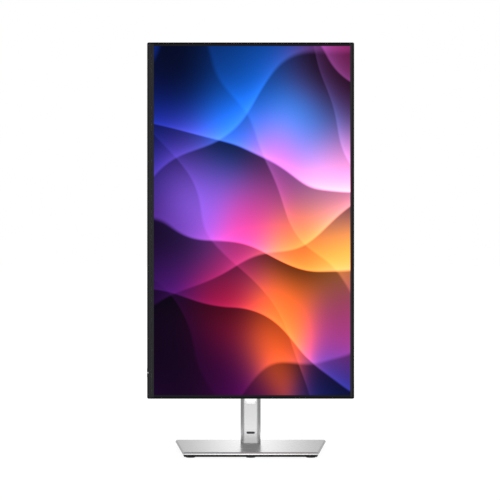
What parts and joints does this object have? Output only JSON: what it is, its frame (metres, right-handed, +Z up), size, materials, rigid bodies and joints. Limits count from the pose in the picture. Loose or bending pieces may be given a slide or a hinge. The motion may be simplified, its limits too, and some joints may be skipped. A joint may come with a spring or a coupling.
{
  "type": "computer monitor",
  "caption": "Flat desktop monitor turned to portrait on a slim riser and tapered base, with height, tilt, swivel and pivot adjustment and rear mounting holes.",
  "frame": {"origin": "centre of the base footprint on the desk surface", "axes": "+Z up, +X to the viewer's right, the screen faces -Y; at rest the screen is in portrait with its landscape top edge towards +X"},
  "size_m": [0.3128, 0.178, 0.6225],
  "materials": {
    "silver_paint": "fine metallic satin",
    "silver_plastic": "satin silver, fine grain",
    "rear_plastic": "matte, fine spark texture",
    "black_plastic": "matte",
    "dark_bezel": "soft gloss",
    "screen_glass": "anti-glare picture surface",
    "black_steel": "powder coat",
    "steel": "brushed",
    "zinc_steel": "zinc plated",
    "spring_steel": "blued",
    "chrome": "polished",
    "cast_alloy": "blasted",
    "white_plastic": "waxy",
    "rubber": "matte",
    "clear_plastic": "clear polished",
    "circuit_green": "solder mask",
    "amber_film": "film",
    "brass": "plain",
    "label_grey": "satin film"
  },
  "bodies": {
    "base": {"base_top_plate": "silver_paint", "base_bottom_plate": "black_steel", "base_feet": "rubber", "base_plate_screws": "zinc_steel", "swivel_bearing_ring": "white_plastic"},
    "riser": {"swivel_hub": "steel", "riser_column": "steel", "riser_front_shell": "silver_paint", "riser_rear_shell": "silver_paint", "riser_foot_bracket": "cast_alloy", "riser_screws": "zinc_steel", "cable_slot_liner": "silver_plastic", "riser_badge": "chrome", "riser_top_cap": "silver_plastic", "spring_axle": "steel", "lift_spring_strip": "spring_steel"},
    "lock_screw": {"lock_screw": "zinc_steel"},
    "lock_ring": {"lock_ring": "zinc_steel"},
    "spring_drum": {"lift_spring_coil": "spring_steel"},
    "carriage": {"lift_carriage": "cast_alloy", "slider_pads": "white_plastic", "lift_arm": "cast_alloy", "tilt_shaft": "steel", "hinge_cover": "silver_plastic"},
    "tilt": {"tilt_bracket": "steel", "tilt_springs": "spring_steel"},
    "head": {"mount_plate": "silver_paint", "pivot_washer": "white_plastic", "pivot_nut": "zinc_steel", "rear_cover": "rear_plastic", "bezel_frame": "dark_bezel", "chin_strip": "black_plastic", "lcd_glass": "screen_glass", "optical_films": "white_plastic", "light_guide": "clear_plastic", "led_bar": "white_plastic", "panel_tray": "zinc_steel", "driver_board": "circuit_green", "flex_tails": "amber_film", "board_chassis": "zinc_steel", "vesa_inserts": "brass", "main_board": "circuit_green", "power_board": "circuit_green", "board_shield": "zinc_steel", "video_ports": "steel", "data_ports": "steel", "ac_inlet": "black_plastic", "inlet_pins": "brass", "cover_screws": "zinc_steel", "rear_label": "label_grey", "button_board": "circuit_green", "joystick_switch": "black_plastic", "power_led_lens": "clear_plastic", "latch_spring": "spring_steel"},
    "power_button": {"power_button": "black_plastic"},
    "joystick_gimbal": {"joystick_gimbal": "steel"},
    "joystick_stem": {"joystick_stem": "steel"},
    "joystick_cap": {"joystick_cap": "black_plastic"},
    "release_button": {"release_button": "silver_plastic"},
    "release_latch": {"release_latch": "steel"}
  },
  "joints": [
    {"name": "swivel", "type": "hinge", "parent": "base", "child": "riser", "pos_m": [0, 0.056, 0.0065], "axis": [0, 0, 1], "range_deg": [-45, 45]},
    {"name": "height", "type": "slide", "parent": "riser", "child": "carriage", "axis": [0, 0, 1], "range_m": [-0.065, 0], "deforming": ["lift_spring_strip"]},
    {"name": "tilt", "type": "hinge", "parent": "carriage", "child": "tilt", "pos_m": [0, 0.022, 0.3535], "axis": [-1, 0, 0], "range_deg": [-5, 21]},
    {"name": "pivot", "type": "hinge", "parent": "tilt", "child": "head", "pos_m": [0, 0.004, 0.3535], "axis": [0, 1, 0], "range_deg": [-180, 0]},
    {"name": "power_press", "type": "slide", "parent": "head", "child": "power_button", "axis": [1, 0, 0], "range_m": [0, 0.0008]},
    {"name": "joystick_side", "type": "hinge", "parent": "head", "child": "joystick_gimbal", "pos_m": [-0.125, -0.0362, 0.1315], "axis": [0, 0, 1], "range_deg": [-6, 6]},
    {"name": "joystick_up", "type": "hinge", "parent": "joystick_gimbal", "child": "joystick_stem", "pos_m": [-0.125, -0.0362, 0.1315], "axis": [1, 0, 0], "range_deg": [-6, 6]},
    {"name": "joystick_press", "type": "slide", "parent": "joystick_stem", "child": "joystick_cap", "axis": [0, -1, 0], "range_m": [0, 0.0004]},
    {"name": "release_press", "type": "slide", "parent": "head", "child": "release_button", "axis": [0, -1, 0], "range_m": [0, 0.003]},
    {"name": "latch_slide", "type": "slide", "parent": "head", "child": "release_latch", "axis": [-1, 0, 0], "range_m": [0, 0.003], "deforming": ["latch_spring"]},
    {"name": "lock_turn", "type": "hinge", "parent": "riser", "child": "lock_screw", "pos_m": [0, 0.056, 0.0047], "axis": [0, 0, -1], "range_deg": [0, 1080]},
    {"name": "lock_ring_fold", "type": "hinge", "parent": "lock_screw", "child": "lock_ring", "pos_m": [0, 0.056, 0.003], "axis": [-1, 0, 0], "range_deg": [0, 90]},
    {"name": "lift_spring_turn", "type": "hinge", "parent": "riser", "child": "spring_drum", "pos_m": [0, 0.06, 0.318], "axis": [1, 0, 0], "range_deg": [0, 340]}
  ],
  "couplings": [
    {"joint": "latch_slide", "follows": "release_press", "ratio": 1},
    {"joint": "lift_spring_turn", "follows": "height", "rad_per_m": -90}
  ]
}
